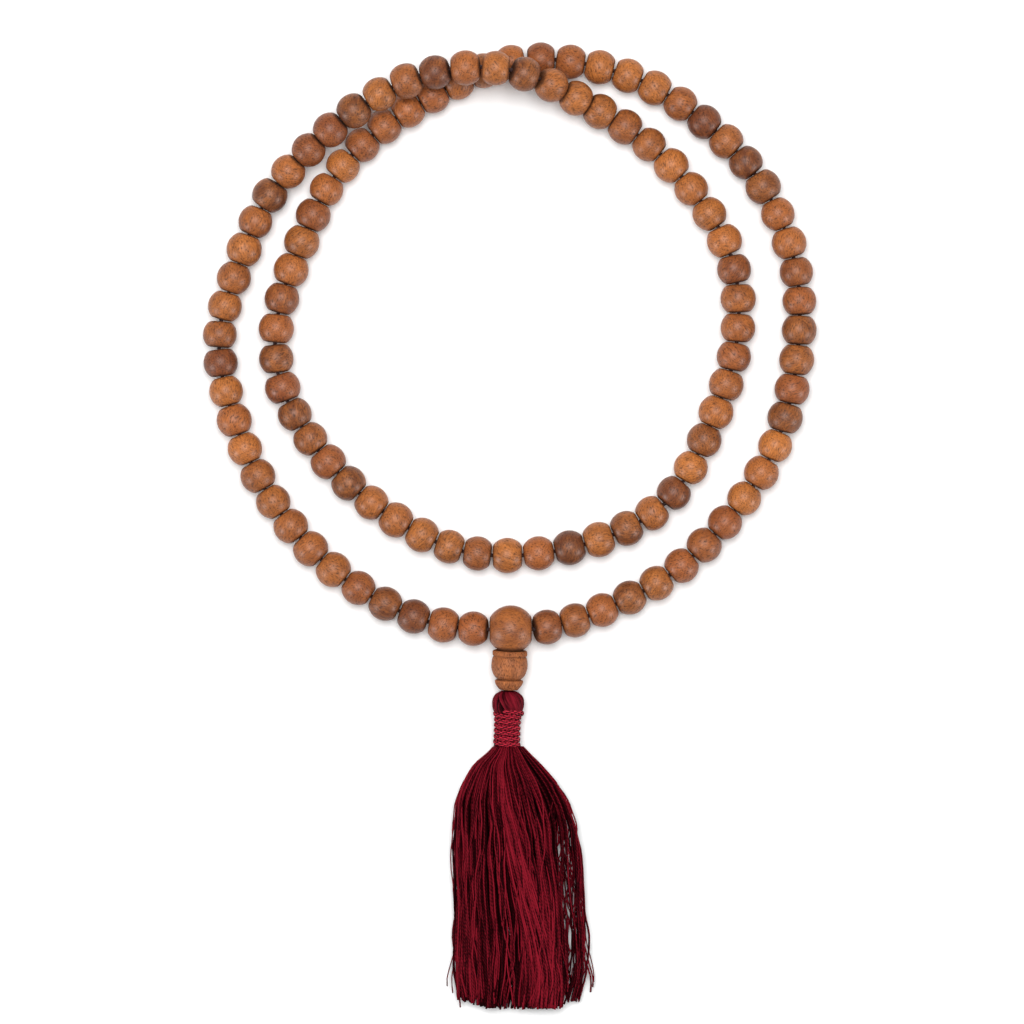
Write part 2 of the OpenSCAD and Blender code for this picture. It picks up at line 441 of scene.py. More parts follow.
@dataclass(frozen=True)
class ThreadFinish:
    """A twisted thread or cord, read from ply and tone on each mesh.

    crown is how much painted shade darkens the thread's sides and underside, where its
    neighbours shade it, which leaves its top lighter. ply holds the cosine and sine of the
    angle round the thread, and the millimetres along it. tone holds the thread's lightness,
    with painted shade where the thread lies deep or hidden.
    """

    name: str
    light: Colour
    dark: Colour
    plies: int
    lay: float
    ridge_shading: float = 0.3
    side_shade: float = 0.5
    roughness: float = 0.5
    relief: float = 0.03
    sheen: float = 0.05
    gloss: float = 0.4

    def material(self) -> bpy.types.Material:
        """Builds the material.

        Returns:
            The material.
        """
        s = Shader(self.name)
        cosine, sine, along = s.parts(s.attribute("ply"))
        lightness, _, _ = s.parts(s.attribute("tone"))
        angle = sine.angle_from(cosine)
        twist = (angle * float(self.plies) + along * (TURN / self.lay)).sine()
        ridge = twist * 0.5 + 0.5
        fibre = ((angle * 9.0) + along * (3.4 * TURN / self.lay)).sine() * 0.5 + 0.5
        drift = s.ripple(along * 0.35 + lightness * 40.0)
        # Painted light and shade: lighter along the twist's ridges, darker between the plies.
        shade = lightness + (ridge - 0.5) * self.ridge_shading + (fibre - 0.5) * 0.2 + (drift - 0.5) * 0.5
        # Painted shade: darker at the sides and underside, so the top stands lighter.
        shade = shade - (1 - sine).rising(0.1, 1.3) * self.side_shade
        colour = s.mixed(shade.rising(0.0, 1.0), self.dark, self.light)
        rough = self.roughness + (1 - ridge) * 0.15
        normal = s.bump(ridge * 0.8 + fibre * 0.25, self.relief)
        return s.finish(
            colour, rough, normal, Specular_IOR_Level=self.gloss, Sheen_Weight=self.sheen
        )


@dataclass(frozen=True)
class FloorFinish:
    """A plain matt white table."""

    name: str = "white_table"
    colour: Colour = (0.95, 0.95, 0.95)

    def material(self) -> bpy.types.Material:
        """Builds the material.

        Returns:
            The material.
        """
        return Shader(self.name).finish(self.colour, 0.9, None, Specular_IOR_Level=0.0)


class Finish(Enum):
    """The finishes of the strand."""

    BEAD = WoodFinish("bead_wood", tint(180, 108, 51), tint(92, 49, 27), tint(140, 73, 40))
    GURU = WoodFinish("guru_wood", tint(184, 110, 52), tint(104, 57, 31), tint(146, 77, 42), pores=0.48)
    TOWER = WoodFinish(
        "tower_wood",
        tint(176, 106, 58),
        tint(102, 58, 36),
        tint(146, 76, 42),
        roughness=0.55,
        gloss=0.2,
        dirt_and_shade_strength=0.75,
        relief=0.05,
    )
    CORD = ThreadFinish("strand_cord", tint(80, 34, 28), tint(24, 10, 10), plies=3, lay=1.6)
    THREAD = ThreadFinish(
        "tassel_thread",
        tint(132, 22, 37),
        tint(27, 0, 3),
        plies=2,
        lay=0.9,
        side_shade=0.6,
        roughness=0.6,
        sheen=0.0,
        gloss=0.02,
    )
    FOLDED = ThreadFinish(
        "folded_thread",
        tint(128, 23, 38),
        tint(24, 0, 3),
        plies=2,
        lay=2.4,
        ridge_shading=0.1,
        side_shade=0.6,
        roughness=0.5,
        relief=0.006,
        sheen=0.0,
        gloss=0.03,
    )
    BINDING = ThreadFinish(
        "binding_cord",
        tint(192, 42, 62),
        tint(46, 0, 6),
        plies=3,
        lay=0.9,
        ridge_shading=1.1,
        side_shade=0.85,
        roughness=0.4,
        relief=0.1,
        sheen=0.0,
        gloss=0.06,
    )


class Wardrobe:
    """Makes each finish's material once, when a piece first asks for it."""

    def __init__(self) -> None:
        """Starts with no materials."""
        self._made: dict[str, bpy.types.Material] = {}

    def get(self, finish: Finish) -> bpy.types.Material:
        """Gives a finish's material.

        Args:
            finish: The finish.

        Returns:
            The material.
        """
        if finish.name not in self._made:
            self._made[finish.name] = finish.value.material()
        return self._made[finish.name]


# ---------------------------------------------------------------- meshes


@dataclass
class Shape:
    """Points and faces, in metres, with a vector for each named attribute at each point."""

    points: Array
    faces: list[tuple[int, ...]]
    attributes: dict[str, Array] = field(default_factory=dict)

    @staticmethod
    def joined(shapes: Sequence["Shape"]) -> "Shape":
        """Puts several shapes into one, as separate surfaces.

        Args:
            shapes: The shapes, all with the same attributes.

        Returns:
            The one shape.
        """
        faces: list[tuple[int, ...]] = []
        start = 0
        for shape in shapes:
            faces += [tuple(k + start for k in face) for face in shape.faces]
            start += len(shape.points)
        names = shapes[0].attributes
        joined = {n: np.concatenate([s.attributes[n] for s in shapes]) for n in names}
        return Shape(np.concatenate([s.points for s in shapes]), faces, joined)

    def piece(self, name: str, material: bpy.types.Material) -> bpy.types.Object:
        """Makes a smooth-shaded Blender object.

        Args:
            name: The piece's name.
            material: Its material.

        Returns:
            The object.
        """
        mesh = bpy.data.meshes.new(name)
        mesh.from_pydata(self.points.tolist(), [], self.faces)
        for attribute, vectors in self.attributes.items():
            made = mesh.attributes.new(attribute, "FLOAT_VECTOR", "POINT")
            made.data.foreach_set("vector", vectors.astype(np.float32).ravel())
        mesh.polygons.foreach_set("use_smooth", [True] * len(mesh.polygons))
        mesh.materials.append(material)
        mesh.update()
        made = bpy.data.objects.new(name, mesh)
        bpy.context.scene.collection.objects.link(made)
        return made


def ring_faces(rings: int, sides: int, closed: bool) -> list[tuple[int, ...]]:
    """Joins rings of points into quads.

    Args:
        rings: How many rings there are.
        sides: How many points each ring has.
        closed: Whether the last ring joins the first.

    Returns:
        The faces, which point outwards where each ring turns to the left along the way.
    """
    faces = []
    for i in range(rings if closed else rings - 1):
        here, there = i * sides, (i + 1) % rings * sides
        for k in range(sides):
            after = (k + 1) % sides
            faces.append((here + k, here + after, there + after, there + k))
    return faces


@dataclass
class Axis:
    """A place and three directions square to each other, with the third along the work."""

    centre: Array
    side: Array
    up: Array
    along: Array

    @staticmethod
    def through(centre: Sequence[float], along: Sequence[float], up: Sequence[float] = (0, 0, 1)) -> "Axis":
        """Makes an axis from a place and its direction.

        Args:
            centre: The place, in metres.
            along: The direction.
            up: Roughly which way its second direction points.

        Returns:
            The axis.
        """
        third = unit(np.array(along, float))
        side = unit(np.cross(np.array(up, float), third))
        return Axis(np.array(centre, float), side, np.cross(third, side), third)

    def place(self, side: Array, up: Array, along: Array) -> Array:
        """Turns lengths along the three directions, in millimetres, into points in metres."""
        lengths = [np.asarray(v, float)[..., None] * MM for v in (side, up, along)]
        return self.centre + lengths[0] * self.side + lengths[1] * self.up + lengths[2] * self.along

    def local(self, points: Array) -> Array:
        """Turns points in metres into millimetres along the three directions."""
        return (points - self.centre) @ np.stack([self.side, self.up, self.along], 1) / MM


@dataclass
class Lathe:
    """Turns an outline round an axis, as a lathe does."""

    axis: Axis
    segments: int = 48

    def turned(self, outline: Array, reach: Callable[[Array, Array], Array] | None = None) -> Shape:
        """Turns a closed outline.

        Args:
            outline: Rows of place along the axis and radius, in millimetres.
            reach: Changes the radius, from the angle and the place along the axis.

        Returns:
            The turned shape.
        """
        angle = np.arange(self.segments) * TURN / self.segments
        along = np.repeat(outline[:, :1], self.segments, 1)
        radius = np.repeat(outline[:, 1:], self.segments, 1)
        if reach is not None:
            radius = radius * reach(np.broadcast_to(angle, along.shape), along)
        points = self.axis.place(radius * np.cos(angle), radius * np.sin(angle), along)
        faces = [face[::-1] for face in ring_faces(len(outline), self.segments, True)]
        return Shape(points.reshape(-1, 3), faces)


@dataclass
class Strand:
    """A thread, ply or cord swept along a line."""

    sides: int = 6
    tip: float = 1.0

    def swept(self, line: Array, radius: Array, up: Array, tone: float | Array, start: float = 0.0) -> Shape:
        """Sweeps a round section along a line and closes its ends.

        Args:
            line: The points of the line, in metres.
            radius: The radius at each point, in millimetres.
            up: Roughly which way is up at each point, or everywhere.
            tone: The thread's lightness, all along or at each point of the line.
            start: Millimetres that come before the line's start, for its twist.

        Returns:
            The swept shape.
        """
        tangent = unit(np.gradient(line, axis=0))
        side = unit(np.cross(np.broadcast_to(up, line.shape), tangent))
        above = np.cross(tangent, side)
        angle = np.arange(self.sides) * TURN / self.sides
        reach = (radius * MM)[:, None, None]
        ring = np.cos(angle)[None, :, None] * side[:, None]
        ring = ring + np.sin(angle)[None, :, None] * above[:, None]
        points = (line[:, None] + reach * ring).reshape(-1, 3)
        steps = np.linalg.norm(np.diff(line, axis=0), axis=1) / MM
        travelled = start + np.concatenate([[0.0], np.cumsum(steps)])
        ply = np.empty((len(line), self.sides, 3))
        ply[..., 0], ply[..., 1], ply[..., 2] = np.cos(angle), np.sin(angle), travelled[:, None]
        beyond = np.array([[-1.0], [1.0]]) * tangent[[0, -1]] * radius[[0, -1], None] * MM
        caps = line[[0, -1]] + beyond * self.tip
        ends = np.array([[1.0, 0.0, travelled[0]], [1.0, 0.0, travelled[-1]]])
        faces = ring_faces(len(line), self.sides, False)
        first, last = len(points), len(points) + 1
        final = (len(line) - 1) * self.sides
        for k in range(self.sides):
            after = (k + 1) % self.sides
            faces.append((first, after, k))
            faces.append((last, final + k, final + after))
        ply = np.concatenate([ply.reshape(-1, 3), ends])
        lightness = np.broadcast_to(np.asarray(tone, float), (len(line),))
        tones = np.zeros((len(ply), 3))
        tones[:, 0] = np.concatenate([np.repeat(lightness, self.sides), lightness[[0, -1]]])
        return Shape(np.concatenate([points, caps]), faces, {"ply": ply, "tone": tones})


@dataclass
class Log:
    """The piece of timber that a bead is turned from, with its own grain and colour.

    places holds the least and most of where in the log it was cut: along the fibres, and
    across them from the heart. lightness holds a mean and a spread, and redness the two
    shapes of a beta curve.
    """

    rng: np.random.Generator
    lean: float = 1.0
    figure: float = 0.6
    places: tuple[tuple[float, float], ...] = ((-400, 400), (9, 40), (-6, 6))
    lightness: tuple[float, float] = (0.55, 0.17)
    redness: tuple[float, float] = (1.2, 2.4)

    def dress(
        self,
        shape: Shape,
        axis: Axis,
        dirt_and_shade: Array,
        rawness: Array | None = None,
        tone: Sequence[float] | None = None,
    ) -> None:
        """Adds the wood's attributes to a shape.

        Args:
            shape: The shape.
            axis: The axis that it was turned on.
            dirt_and_shade: How dirty each point is, with painted shade where it is hidden or meets a
                neighbour, from 0 to 1.
            rawness: How raw each point's wood is, from 0 to 1.
            tone: Lightness, redness and figure, or drawn at random.
        """
        lean = self.rng.normal(size=3) * self.lean
        lean[2] += 1.0
        fibres = unit(lean)
        bark = unit(np.cross(fibres, self.rng.normal(size=3)))
        turn = np.stack([fibres, bark, np.cross(fibres, bark)], 1)
        offset = np.array([self.rng.uniform(*reach) for reach in self.places])
        count = len(shape.points)
        drawn = [self.rng.normal(*self.lightness), self.rng.beta(*self.redness)]
        drawn.append(self.rng.random() ** 3 * self.figure)
        shape.attributes["grain"] = axis.local(shape.points) @ turn + offset
        shape.attributes["tone"] = np.broadcast_to(np.array(tone or drawn, float), (count, 3))
        raw = np.zeros(count) if rawness is None else rawness
        shape.attributes["wear_and_shade"] = np.stack([dirt_and_shade, raw, np.zeros(count)], 1)


# ---------------------------------------------------------------- the CAD model's places


@dataclass
class CadBead:
    """A counting bead as the CAD model has it."""

    centre: Array
    axis: Array
    length: float
    diameter: float
    body: str
    node: str

    def end(self, way: float) -> Array:
        """Gives the middle of one end face: -1 for its first end and 1 for its last."""
        return self.centre + self.axis * self.length / 2 * MM * way


class CadModel:
    """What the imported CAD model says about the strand's places."""

    def __init__(self, frame: Mapping[str, Any]) -> None:
        """Reads the joints and the beads.
        """
        self.nodes = frame["nodes"]
        self.joints = {j["name"]: j for j in frame["joints"]}
        self.guru = np.array(self.joints["guru_swing"]["pos_m"], float)
        self.knot = np.array(self.joints["tassel_twist"]["pos_m"], float)
        self.drop = Axis.through(self.guru, self.joints["tassel_twist"]["axis"])
        self.beads = self._in_order(self._beads())

    def points(self, node: str) -> Array:
        """Gives a CAD node's points, in metres.

        Args:
            node: The node's name.

        Returns:
            One row for each point.
        """
        mesh = self.nodes[node].data
        flat = np.empty(len(mesh.vertices) * 3, np.float32)
        mesh.vertices.foreach_get("co", flat)
        return flat.reshape(-1, 3).astype(float)

    def _solids(self, node: str) -> list[Array]:
        """Splits a CAD node into its separate solids.

        Args:
            node: The node's name.

        Returns:
            The points of each solid.
        """
        points = self.points(node)
        _, weld = np.unique(np.round(points / MM, 4), axis=0, return_inverse=True)
        weld = weld.ravel()
        mesh = self.nodes[node].data
        edges = np.empty(len(mesh.edges) * 2, np.int64)
        mesh.edges.foreach_get("vertices", edges)
        pairs = weld[edges.reshape(-1, 2)]
        label = np.arange(weld.max() + 1)
        while True:
            lowest = label.copy()
            np.minimum.at(lowest, pairs[:, 0], label[pairs[:, 1]])
            np.minimum.at(lowest, pairs[:, 1], label[pairs[:, 0]])
            lowest = lowest[lowest]
            if (lowest == label).all():
                break
            label = lowest
        return [points[label[weld] == one] for one in np.unique(label)]

    def _beads(self) -> list[CadBead]:
        """Measures every counting bead.

        Returns:
            The beads, in no order.
        """
        beads = []
        for joint in self.joints.values():
            if joint["name"].startswith("turn_bead_"):
                node = joint["name"].removeprefix("turn_")
                centre, axis = np.array(joint["pos_m"], float), unit(np.array(joint["axis"], float))
                beads.append(self._measured(self.points(node), centre, axis, joint["child"], node))
        for points in self._solids("counting_beads"):
            centre, axis = self._bored(points)
            beads.append(self._measured(points, centre, axis, "root", "counting_beads"))
        return beads

    @staticmethod
    def _bored(points: Array) -> tuple[Array, Array]:
        """Finds a bead's middle and its axis from the two rims of its bore.

        Args:
            points: The bead's points.

        Returns:
            The middle and the axis.
        """
        unique = np.unique(np.round(points / MM, 4), axis=0) * MM
        middle = (unique.min(0) + unique.max(0)) / 2
        spread, ways = np.linalg.eigh(np.cov((unique - middle).T))
        rough_axis = ways[:, 2 if spread[2] - spread[1] > spread[1] - spread[0] else 0]
        along = (unique - middle) @ rough_axis
        across = np.linalg.norm(unique - middle - np.outer(along, rough_axis), axis=1)
        rims = [unique[(across < 0.9 * MM) & (along * way > 0)].mean(0) for way in (-1, 1)]
        return (rims[0] + rims[1]) / 2, unit(rims[1] - rims[0])

    @staticmethod
    def _measured(points: Array, centre: Array, axis: Array, body: str, node: str) -> CadBead:
        """Measures one bead along and across its axis.

        Args:
            points: The bead's points.
            centre: A place on its axis, near its middle.
            axis: Its axis.
            body: The CAD body that it moves with.
            node: The CAD node that it belongs to.

        Returns:
            The bead.
        """
        along = (points - centre) @ axis
        centre = centre + axis * (along.max() + along.min()) / 2
        across = np.linalg.norm(points - centre - np.outer((points - centre) @ axis, axis), axis=1)
        return CadBead(centre, axis, np.ptp(along) / MM, 2 * across.max() / MM, body, node)

    def _in_order(self, beads: list[CadBead]) -> list[CadBead]:
        """Puts the beads in order along the cord, from the guru bead's left side.

        Args:
            beads: The beads in any order.

        Returns:
            The beads in order, each with its axis pointing along the cord.
        """
        low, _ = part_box("guru_bead")
        here = np.array([low[0], self.guru[1], self.guru[2]])
        left, ordered = list(beads), []
        while left:
            _, nearest, way = min(
                (np.linalg.norm(bead.end(way) - here), k, way)
                for k, bead in enumerate(left)
                for way in (-1, 1)
            )
            bead = left.pop(nearest)
            bead.axis = bead.axis * -way
            ordered.append(bead)
            here = bead.end(1)
        return ordered


# ---------------------------------------------------------------- beads


@dataclass
class Maker:
    """Makes one part of the strand at the CAD model's places."""

    cad: CadModel
    wardrobe: Wardrobe

    def mounted(
        self, shape: Shape, name: str, finish: Finish, body: str, slot: str, node: str
    ) -> bpy.types.Object:
        """Makes a piece, puts it on its CAD body and hides the CAD node that it stands for.

        Args:
            shape: The piece's shape.
            name: Its name.
            finish: Its finish.
            body: The CAD body that it moves with.
            slot: The record's material slot; not used.
            node: The CAD node that it stands for.

        Returns:
            The piece.
        """
        piece = shape.piece(name, self.wardrobe.get(finish))
        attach(piece, body)
        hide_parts(node)
        LOG.info("%s: %d faces on %s", piece.name, len(piece.data.polygons), body)
        return piece


@dataclass(frozen=True)
class BeadProfile:
    """A turned bead's section: a ball with two flat ends, soft edges and a bore."""

    length: float
    diameter: float
    bore: float = 1.2
    countersink: float = 0.2
    edge: float = 1.6

    @property
    def flat(self) -> float:
        """The radius of the flat ends."""
        return math.sqrt((self.diameter / 2 - self.edge) ** 2 - (self.length / 2 - self.edge) ** 2)

    def outline(self, steps: int) -> Array:
        """Draws the section from one end to the other, and back through the bore.

        Args:
            steps: How many points the round side has.

        Returns:
            Rows of place along the axis and radius, in millimetres.
        """
        half, edge_at = self.length / 2, self.length / 2 - self.edge
        side = math.atan2(self.flat, edge_at)
        face = np.linspace(self.bore / 2 + self.countersink, self.flat, 4)[:-1]
        turn = np.linspace(0, side, 7)
        rim = np.stack([edge_at + self.edge * np.cos(turn), self.flat + self.edge * np.sin(turn)], 1)
        end = np.concatenate([np.stack([np.full(len(face), half), face], 1), rim])
        turn = np.linspace(side, math.pi - side, steps)[1:-1]
        belly = self.diameter / 2 * np.stack([np.cos(turn), np.sin(turn)], 1)
        inside = np.stack([np.linspace(-1, 1, 4) * (half - self.countersink), np.full(4, self.bore / 2)], 1)
        return np.concatenate([end, belly, end[::-1] * (-1, 1), inside])

    def dirt_and_shade(self, along: Array) -> Array:
        """Gives how dirty the wood is near the ends, where it rubs its neighbours, with painted shade in the
        crevice between them.
        """
        return 1 - smooth_step(0.02, 0.42, self.length / 2 - np.abs(along))


@dataclass(frozen=True)
class HandTurning:
    """The small unevenness that a bead keeps from the lathe, always inwards."""

    oval: float
    lump: float
    phase: tuple[float, float]

    def __call__(self, angle: Array, along: Array) -> Array:
        """Gives the share of the true radius.

        Args:
            angle: The angle round the axis at each point.
            along: The place along the axis, in millimetres.

        Returns:
            The share at each point, at most 1.
        """
        oval = self.oval * (1 + np.cos(2 * angle + self.phase[0]))
        lump = self.lump * (1 + np.sin(3 * angle + 0.8 * along + self.phase[1])) / 2
        return 1 - oval - lump


@dataclass
class CountingBeads(Maker):
    """The strand's counting beads, each turned from its own piece of wood."""

    segments: int = 44
    steps: int = 20
    seed: int = 108

    def bead(self, number: int, bead: CadBead, rng: np.random.Generator) -> bpy.types.Object:
        """Makes one bead.

        Args:
            number: Its number along the cord, from 1.
            bead: Its place and size.
            rng: Where its chances come from.

        Returns:
            The bead.
        """
        profile = BeadProfile(bead.length, bead.diameter)
        lathe = Lathe(Axis.through(bead.centre, bead.axis), self.segments)
        phase = rng.uniform(0, TURN, 2)
        oval, lump = rng.uniform(0.002, 0.008, 2)
        shape = lathe.turned(profile.outline(self.steps), HandTurning(oval, lump, tuple(phase)))
        Log(rng).dress(shape, lathe.axis, profile.dirt_and_shade(lathe.axis.local(shape.points)[:, 2]))
        name = f"turned_bead_{number:03d}"
        return self.mounted(shape, name, Finish.BEAD, bead.body, "bead_wood", bead.node)

    def build(self) -> None:
        """Makes every bead."""
        rng = np.random.default_rng(self.seed)
        for number, bead in enumerate(self.cad.beads, 1):
            self.bead(number, bead, rng)


@dataclass
class GuruBead(Maker):
    """The large three-hole bead that closes the strand."""

    drop_hole: float = 2.2
    cup: float = 4.1
    cup_fade: float = 0.6
    tone: tuple[float, float, float] = (0.5, 0.3, 0.1)
    grain_lean: float = 0.6
    segments: int = 72
    drill_segments: int = 40
    steps: int = 44
    seed: int = 7

    def build(self) -> bpy.types.Object:
        """Makes the bead with its strand hole and the hole down to the tower bead.

        Returns:
            The bead.
        """
        low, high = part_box("guru_bead")
        profile = BeadProfile((high[0] - low[0]) / MM, (high[2] - low[2]) / MM)
        lathe = Lathe(Axis.through(self.cad.guru, (1.0, 0.0, 0.0)), self.segments)
        shape = lathe.turned(profile.outline(self.steps))
        piece = shape.piece("three_hole_guru", self.wardrobe.get(Finish.GURU))
        self._drill(piece, profile.diameter)
        points = np.array([v.co for v in piece.data.vertices], float)
        drilled = Shape(points, [tuple(p.vertices) for p in piece.data.polygons])
        bpy.data.objects.remove(piece)
        drop = self.cad.drop.local(points)
        from_drop = np.hypot(drop[:, 0], drop[:, 1])
        # Painted shade: the bead is darker where it sits in the tower bead's cup.
        seat_shade = (drop[:, 2] > 0) * (1 - smooth_step(self.cup - self.cup_fade, self.cup, from_drop))
        dirt_and_shade = np.maximum(profile.dirt_and_shade(lathe.axis.local(points)[:, 2]), seat_shade)
        log = Log(np.random.default_rng(self.seed), lean=self.grain_lean)
        log.dress(drilled, lathe.axis, dirt_and_shade, tone=self.tone)
        return self.mounted(drilled, "three_hole_guru", Finish.GURU, "guru", "guru_wood", "guru_bead")

    def _drill(self, piece: bpy.types.Object, depth: float) -> None:
        """Drills the third hole, from the middle out towards the tower bead.

        Args:
            piece: The bead.
            depth: How far out the drill goes, in millimetres.
        """
        point, side = 0.01, self.drop_hole / 2
        profile = np.array([[0.0, point], [0.0, side], [depth, side], [depth, point]])
        turned = Lathe(self.cad.drop, self.drill_segments).turned(profile[::-1])
        drill = turned.piece("drill", self.wardrobe.get(Finish.GURU))
        cut = piece.modifiers.new("drop_hole", "BOOLEAN")
        cut.operation, cut.solver, cut.object = "DIFFERENCE", "EXACT", drill
        graph = bpy.context.evaluated_depsgraph_get()
        piece.data = bpy.data.meshes.new_from_object(piece.evaluated_get(graph))
        piece.modifiers.clear()
        bpy.data.objects.remove(drill)


@dataclass(frozen=True)
class ChippedRims:
    """The tower bead's raw collar, with a notch, and its rough base rim.

    collar holds where the collar starts, and where its roughness starts and stops fading.
    base_rise and base_fall hold where the base rim's roughness grows and fades.
    """

    phases: tuple[float, ...]
    collar: tuple[float, float, float] = (4.9, 5.7, 6.2)
    base_rise: tuple[float, float] = (11.8, 12.0)
    base_fall: tuple[float, float] = (12.3, 12.7)
    collar_depth: float = 0.026
    base_depth: float = 0.014
    notch_at: float = 0.5
    notch_width: float = 0.07
    notch_depth: float = 0.08
    mark_depth: float = 0.0012
    marks: float = 21.0

    def __call__(self, angle: Array, along: Array) -> Array:
        """Gives the share of the true radius.

        Args:
            angle: The angle round the axis at each point.
            along: The place along the axis, in millimetres.

        Returns:
            The share at each point, at most 1.
        """
        top, fading, smooth = self.collar
        collar = smooth_step(smooth, fading, along) * (along > top)
        base = smooth_step(*self.base_rise, along) * smooth_step(*self.base_fall[::-1], along)
        waves = enumerate(self.phases)
        bite = sum(np.sin((5 + 6 * k) * angle + phase + along * (k - 2)) for k, phase in waves)
        bite = 1 + bite / len(self.phases)
        from_notch = (angle - self.notch_at + math.pi) % TURN - math.pi
        notch = np.exp(-((from_notch / self.notch_width) ** 2)) * collar
        lathe_marks = self.mark_depth * (np.sin(along * self.marks) - 1)
        worn = 1 - collar * self.collar_depth * bite - base * self.base_depth * bite
        return worn - self.notch_depth * notch + lathe_marks


@dataclass
class TowerBead(Maker):
    """The vase-shaped bead that the guru bead sits in.

    grooves holds each groove's place, width and darkness. outer holds the outside's
    distance from the guru bead and its radius, from the collar to the base.
    """

    hole: float = 2.2
    chamfer: float = 0.12
    dish_clearance: float = 0.15
    collar_top: float = 4.95
    lip: float = 0.2
    grooves: tuple[tuple[float, float, float], ...] = ((11.68, 0.14, 1.0), (6.33, 0.16, 0.45))
    groove_darkening: float = 0.8
    tone: tuple[float, float, float] = (0.6, 0.25, 0.05)
    grain_lean: float = 0.12
    segments: int = 120
    seed: int = 21
    outer: tuple[tuple[float, float], ...] = (
        (4.95, 3.86), (5.05, 4.05), (5.3, 4.15), (5.6, 4.16), (5.9, 4.12), (6.1, 4.0),
        (6.2, 3.86), (6.35, 3.82), (6.5, 3.9), (6.75, 4.03), (7.2, 4.14), (7.8, 4.22),
        (8.4, 4.25), (9.0, 4.21), (9.6, 4.08), (10.2, 3.89), (10.7, 3.64), (11.1, 3.36),
        (11.4, 3.06), (11.55, 2.86), (11.62, 2.76), (11.75, 2.74), (11.82, 2.9),
        (11.88, 3.15), (11.97, 3.3), (12.15, 3.36), (12.4, 3.33), (12.75, 3.18),
        (13.1, 2.98), (13.45, 2.72), (13.8, 2.42), (14.05, 2.2), (14.13, 2.05),
    )

    def outline(self) -> Array:
        """Draws the section: the dish, the outside, the end face and the hole.

        Returns:
            Rows of place along the axis and radius, in millimetres.
        """
        low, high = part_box("guru_bead")
        dish = (high[2] - low[2]) / MM / 2 + self.dish_clearance
        fine = np.linspace(0, len(self.outer) - 1, 3 * len(self.outer))
        outer = np.stack([np.interp(fine, range(len(self.outer)), c) for c in zip(*self.outer)], 1)
        rim = math.sqrt(max(0.0, dish**2 - self.collar_top**2))
        edge = min(rim, outer[0, 1] - self.lip)
        radius = np.linspace(self.hole / 2, edge, 9)
        cup = np.stack([np.sqrt(dish**2 - radius**2), radius], 1)
        lip = np.array([[self.collar_top, edge + 0.05]])
        base, bore = outer[-1, 0], self.hole / 2
        mouth = np.array([[base + 0.02, bore + self.chamfer], [base - 0.1, bore]])
        return np.concatenate([cup, lip, outer, mouth])[::-1]

    def build(self) -> bpy.types.Object:
        """Makes the bead, with its raw, chipped collar.

        Returns:
            The bead.
        """
        rng = np.random.default_rng(self.seed)
        lathe = Lathe(self.cad.drop, self.segments)
        shape = lathe.turned(self.outline(), ChippedRims(tuple(rng.uniform(0, TURN, 6))))
        local = lathe.axis.local(shape.points)
        along, radius = local[:, 2], np.hypot(local[:, 0], local[:, 1])
        # Darker in the grooves.
        groove = sum(dark * np.exp(-(((along - at) / width) ** 2)) for at, width, dark in self.grooves)
        # Painted shade: darker near the bore and in the dish under the guru bead.
        bore_shade = smooth_step(2.6, 1.1, radius)
        cup = (along < 5.3) * smooth_step(3.9, 3.4, radius)
        dirt_and_shade = np.clip(self.groove_darkening * groove + bore_shade + cup, 0, 1)
        raw = smooth_step(6.3, 6.1, along) + smooth_step(11.75, 11.9, along) * 0.7
        Log(rng, self.grain_lean).dress(shape, lathe.axis, dirt_and_shade, np.clip(raw, 0, 1), self.tone)
        return self.mounted(shape, "vase_tower", Finish.TOWER, "tower", "tower_wood", "tower_bead")


# ---------------------------------------------------------------- cords


def resampled(points: Array, step: float) -> Array:
    """Puts evenly spaced points on a line.

    Args:
        points: The line's points, in metres.
        step: The spacing, in millimetres.

    Returns:
        The new points, with the same two ends.
    """
    travelled = np.concatenate([[0.0], np.cumsum(np.linalg.norm(np.diff(points, axis=0), axis=1))])
    places = np.linspace(0, travelled[-1], max(2, round(travelled[-1] / MM / step)) + 1)
    return np.stack([np.interp(places, travelled, points[:, k]) for k in range(3)], 1)


@dataclass
class LaidCord:
    """A cord of several plies laid round each other."""

    radius: float
    plies: int
    lay: float
    sides: int = 6
    step: float = 0.3

    def shapes(self, line: Array, up: Array, tone: float | Array, swell: Array | None = None) -> list[Shape]:
        """Lays the plies along a line.

        Args:
            line: The cord's centre line, in metres.
            up: Roughly which way is up at each point, or everywhere.
            tone: The plies' lightness, all along or at each point.
            swell: A share of the radius at each point.

        Returns:
            One shape for each ply.
        """
        tangent = unit(np.gradient(line, axis=0))
        side = unit(np.cross(np.broadcast_to(up, line.shape), tangent))
        above = np.cross(tangent, side)
        steps = np.linalg.norm(np.diff(line, axis=0), axis=1) / MM
        turn = np.concatenate([[0.0], np.cumsum(steps)]) * TURN / self.lay
        ply = self.radius / (1 + 1 / math.sin(math.pi / self.plies)) if self.plies > 1 else self.radius
        swollen = np.ones(len(line)) if swell is None else swell
        made = []
        for k in range(self.plies):
            angle = turn + k * TURN / self.plies
            away = (self.radius - ply) * MM * swollen[:, None]
            centre = line + away * (np.cos(angle)[:, None] * side + np.sin(angle)[:, None] * above)
            made.append(Strand(self.sides).swept(centre, 1.08 * ply * swollen, up, tone))
        return made


